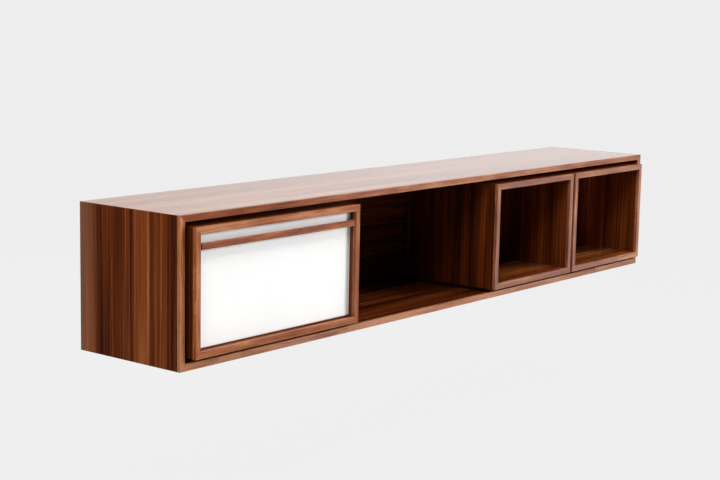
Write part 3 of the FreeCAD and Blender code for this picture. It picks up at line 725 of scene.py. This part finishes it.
def screws(name, body, material, look, points):
    # points: (place, the way the head looks)
    mesh = bpy.data.meshes.new(name + "_points")
    mesh.from_pydata([place for place, facing in points], [], [])
    directions = mesh.attributes.new("facing", "FLOAT_VECTOR", "POINT")
    for value, (place, facing) in zip(directions.data, points):
        value.vector = facing
    holder = bpy.data.objects.new(name + "_points", mesh)
    scene.collection.objects.link(holder)
    modifier = holder.modifiers.new("heads", "NODES")
    modifier.node_group = screwTree
    values = dict(look, Material=material)
    for item in screwTree.interface.items_tree:
        if item.name in values:
            modifier[item.identifier] = values[item.name]
    bpy.context.view_layer.update()
    evaluated = holder.evaluated_get(bpy.context.evaluated_depsgraph_get())
    heads = bpy.data.objects.new(name, bpy.data.meshes.new_from_object(evaluated))
    bpy.data.objects.remove(holder)
    scene.collection.objects.link(heads)
    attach(heads, body)


fittings = {
    "plate": 2.5 * mm,  # thickness of stay plates, bracket feet and hinge leaves
    "plateScrew": 24.5 * mm,  # stay plate's screws from its middle
    "footScrewX": 8.0 * mm,
    "footScrewZ": 10.0 * mm,
    "leafScrews": (19.0 * mm, 34.0 * mm),  # up from the leaf's lower end
    "catchScrew": 18.0 * mm,
    "strikeScrew": 16.0 * mm,
    "stripScrews": 5,
    "cleatScrews": 8,
}


def middleOf(box):
    return (box[0] + box[1]) / 2


def halves(name):
    # the two solids of a node that holds one on each side of its middle, as boxes
    points = [vertex.co for vertex in nodes[name].data.vertices]
    middle = middleOf(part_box(name)).x
    found = []
    for side in (-1, 1):
        own = [point for point in points if (point.x - middle) * side > 0]
        low = Vector([min(point[axis] for point in own) for axis in range(3)])
        high = Vector([max(point[axis] for point in own) for axis in range(3)])
        found.append((low, high))
    return found


def pairAt(x, y, z, apart, facing):
    # two screws, on both sides of a place
    return [(Vector((x, y, z)) - apart, facing), (Vector((x, y, z)) + apart, facing)]


def rowOn(box, y, count):
    # evenly spaced along a strip, with their heads to the wall
    length, z = box[1].x - box[0].x, middleOf(box).z
    return [(Vector((box[0].x + length * (n + 0.5) / count, y, z)), axes["y"]) for n in range(count)]


def sideScrews(fit):
    plates, leaves, doorLeaves, feet = [], [], [], []
    for side, inward, near in (("left_", 1, 0), ("right_", -1, 1)):
        way = Vector((inward, 0, 0))
        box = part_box(side + "stay_base")
        middle = middleOf(box)
        plates += pairAt(box[near].x + inward * fit["plate"], middle.y, middle.z,
                         axes["z"] * fit["plateScrew"], way)
        case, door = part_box(side + "hinge_case_leaf"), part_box(side + "hinge_door_leaf")
        for up in fit["leafScrews"]:
            y, z = middleOf(door).y, door[0].z + up
            leaves.append((Vector((case[near].x + inward * fit["plate"], y, z)), way))
            doorLeaves.append((Vector((door[near].x, y, z)), -way))
        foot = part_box(side + "stay_bracket")
        feet += pairAt(foot[1 - near].x - inward * fit["footScrewX"], foot[0].y + fit["plate"],
                       middleOf(foot).z, axes["z"] * fit["footScrewZ"], axes["y"])
    return plates, leaves, doorLeaves, feet


def makeScrews(fit):
    plates, leaves, doorLeaves, feet = sideScrews(fit)
    screws("stay_plate_screws", "cabinet", nickelSteel, panHead, plates)
    screws("case_leaf_screws", "cabinet", brass, flushHead, leaves)
    screws("door_leaf_screws", "flap", brass, flushHead, doorLeaves)
    screws("bracket_screws", "flap", nickelSteel, panHead, feet)
    under, onPlates = [], []
    for box in halves("magnetic_catches"):
        middle = middleOf(box)
        under += pairAt(middle.x, middle.y, box[0].z, axes["x"] * fit["catchScrew"], -axes["z"])
    for box in halves("strike_plates"):
        middle = middleOf(box)
        onPlates += pairAt(middle.x, box[1].y, middle.z, axes["x"] * fit["strikeScrew"], axes["y"])
    screws("catch_screws", "cabinet", zincSteel, catchHead, under)
    screws("strike_plate_screws", "flap", zincSteel, strikeHead, onPlates)
    strip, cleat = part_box("handle_strip"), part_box("case_cleat")
    onBack = rowOn(strip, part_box("flap_panel")[1].y, fit["stripScrews"])
    onCleat = rowOn(cleat, cleat[1].y, fit["cleatScrews"])
    screws("strip_screws", "flap", zincSteel, panHead, onBack)
    screws("case_cleat_screws", "case", zincSteel, cleatHead, onCleat)


makeScrews(fittings)
print("screws finished")

# Steel pole plates let into the front of each magnetic catch

poles = {"width": 38.0 * mm, "height": 2.2 * mm, "apart": 6.0 * mm, "proud": 0.1 * mm, "deep": 3.0 * mm,
         "arris": 0.08 * mm}


def makePoles(poles):
    shape = bmesh.new()
    for low, high in halves("magnetic_catches"):
        middle = (low + high) / 2
        y = low.y - poles["proud"] + poles["deep"] / 2
        for step in (-poles["apart"] / 2, poles["apart"] / 2):
            place = Matrix.Translation((middle.x, y, middle.z + step))
            size = Matrix.Diagonal((poles["width"], poles["deep"], poles["height"], 1.0))
            bar = bmesh.ops.create_cube(shape, size=1.0, matrix=place @ size)
            edges = {edge for corner in bar["verts"] for edge in corner.link_edges}
            bmesh.ops.bevel(shape, geom=list(edges), offset=poles["arris"], segments=2, affect="EDGES")
    mesh = bpy.data.meshes.new("catch_poles")
    shape.to_mesh(mesh)
    shape.free()
    mesh.materials.append(zincSteel)
    piece = bpy.data.objects.new("catch_poles", mesh)
    scene.collection.objects.link(piece)
    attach(piece, "cabinet")


makePoles(poles)
print("catch poles finished")

# Floor, air, lamps and camera

studio = {
    "floorZ": -0.75,
    "floorHalf": 30.0,
    "floorColour": 0.60,
    "floorLevel": 0.865,  # what the camera sees, apart from the floor's own shading
    "floorShade": 0.02,  # how much of the floor's look is its real shading
    "floorInGloss": ((-1.4, 0.07), (1.6, 0.85)),  # two places along X and the floor's level at each
    "airLevel": 0.855,  # what the camera sees
    "airInGloss": ((0.10, 0.07), (0.87, 1.05)),  # X of the way to it, and the air's level there
    "ambient": 0.01,  # what the matt surfaces get from all round
    "lamps": [  # without inGloss a lamp's glare stays off the boards
        dict(name="keyLamp", place=(8.6, -9.5, 3.0), aim=(0.0, -0.2, -0.1), size=(4.4, 4.0),
             power=1600.0, inGloss=False),
        dict(name="skyLamp", place=(0.0, -1.2, 2.4), aim=(0.0, -0.3, 0.0), size=(4.0, 1.6),
             power=60.0, inGloss=True),
        dict(name="leftSkyLamp", place=(-3.0, -1.6, 2.6), aim=(0.0, -0.2, -0.1), size=(1.6, 1.6),
             power=56.0, inGloss=False),
        dict(name="wallLamp", place=(0.0, 3.0, 1.6), aim=(0.0, -0.1, -0.1), size=(4.0, 1.2),
             power=140.0, inGloss=False),
        dict(name="sideLamp", place=(-4.2, -1.1, 0.6), aim=(0.0, -0.2, -0.1), size=(2.0, 2.0),
             power=26.0, inGloss=False),
    ],
}


def levelSeen(tree, x, inGloss, onCamera):
    # the camera sees one even level, and gloss and glass see one that rises with x
    rays = addNode(tree, "ShaderNodeLightPath").outputs
    (darkX, darkLevel), (paleX, paleLevel) = inGloss
    rising = ease(tree, x, darkX, paleX, darkLevel, paleLevel)
    level = blendValues(tree, rays["Is Camera Ray"], rising, onCamera)
    isSeen = calc(tree, "MAXIMUM", rays["Is Glossy Ray"], rays["Is Transmission Ray"])
    return level, calc(tree, "MAXIMUM", rays["Is Camera Ray"], isSeen)


def makeFloor(studio):
    half, z = studio["floorHalf"], studio["floorZ"]
    corners = [(x * half, y * half, z) for x, y in ((-1, -1), (1, -1), (1, 1), (-1, 1))]
    mesh = bpy.data.meshes.new("floor")
    mesh.from_pydata(corners, [], [(0, 1, 2, 3)])
    floor = bpy.data.objects.new("floor", mesh)
    scene.collection.objects.link(floor)
    material, tree = newMaterial("floorPale")
    x = splitAxes(tree, tree.nodes.new("ShaderNodeTexCoord").outputs["Object"])[0]
    level, seen = levelSeen(tree, x, studio["floorInGloss"], studio["floorLevel"])
    matt = addNode(tree, "ShaderNodeBsdfDiffuse", {"Color": grey(studio["floorColour"])}).outputs[0]
    glow = addNode(tree, "ShaderNodeEmission", {"Color": grey(1.0), "Strength": level}).outputs[0]
    share = calc(tree, "MULTIPLY", seen, 1.0 - studio["floorShade"])
    mixed = addNode(tree, "ShaderNodeMixShader", {0: share, 1: matt, 2: glow}).outputs[0]
    addNode(tree, "ShaderNodeOutputMaterial", {0: mixed})
    mesh.materials.append(material)


def makeAir(studio):
    world = bpy.data.worlds.new("paleAir")
    world.use_nodes = True
    scene.world = world
    tree = world.node_tree
    tree.nodes.clear()
    x = splitAxes(tree, tree.nodes.new("ShaderNodeTexCoord").outputs["Generated"])[0]
    level, seen = levelSeen(tree, x, studio["airInGloss"], studio["airLevel"])
    level = blendValues(tree, seen, studio["ambient"], level)
    air = addNode(tree, "ShaderNodeBackground", {"Color": grey(1.0), "Strength": level}).outputs[0]
    addNode(tree, "ShaderNodeOutputWorld", {0: air})


def makeLamps(lamps):
    for lamp in lamps:
        data = bpy.data.lights.new(lamp["name"], "AREA")
        data.shape = "RECTANGLE"
        data.size, data.size_y = lamp["size"]
        data.energy = lamp["power"]
        light = bpy.data.objects.new(lamp["name"], data)
        scene.collection.objects.link(light)
        light.visible_glossy = lamp["inGloss"]
        light.location = lamp["place"]
        way = Vector(lamp["aim"]) - Vector(lamp["place"])
        light.rotation_euler = way.to_track_quat("-Z", "Y").to_euler()


makeFloor(studio)
makeAir(studio)
makeLamps(studio["lamps"])

viewpoint = {
    "place": (-4.0206, -3.2537, 0.6987),
    "azimuth": 51.109,  # degrees from the way to the wall towards +X
    "down": 8.899,
    "roll": 1.150,
    "lens": 77.37,
    "sensor": 36.0,
    "clip": (0.05, 200.0),
}


def makeCamera(viewpoint):
    turn, tilt = math.radians(viewpoint["azimuth"]), math.radians(viewpoint["down"])
    forward = Vector((math.sin(turn) * math.cos(tilt), math.cos(turn) * math.cos(tilt), -math.sin(tilt)))
    right = forward.cross(axes["z"]).normalized()
    right = Matrix.Rotation(-math.radians(viewpoint["roll"]), 3, forward) @ right
    up = right.cross(forward)
    data = bpy.data.cameras.new("camera")
    data.lens, data.sensor_width, data.sensor_fit = viewpoint["lens"], viewpoint["sensor"], "HORIZONTAL"
    data.clip_start, data.clip_end = viewpoint["clip"]
    camera = bpy.data.objects.new("camera", data)
    scene.collection.objects.link(camera)
    turned = Matrix((right, up, -forward)).transposed().to_4x4()
    camera.matrix_world = Matrix.Translation(viewpoint["place"]) @ turned
    scene.camera = camera


makeCamera(viewpoint)
print("studio finished")
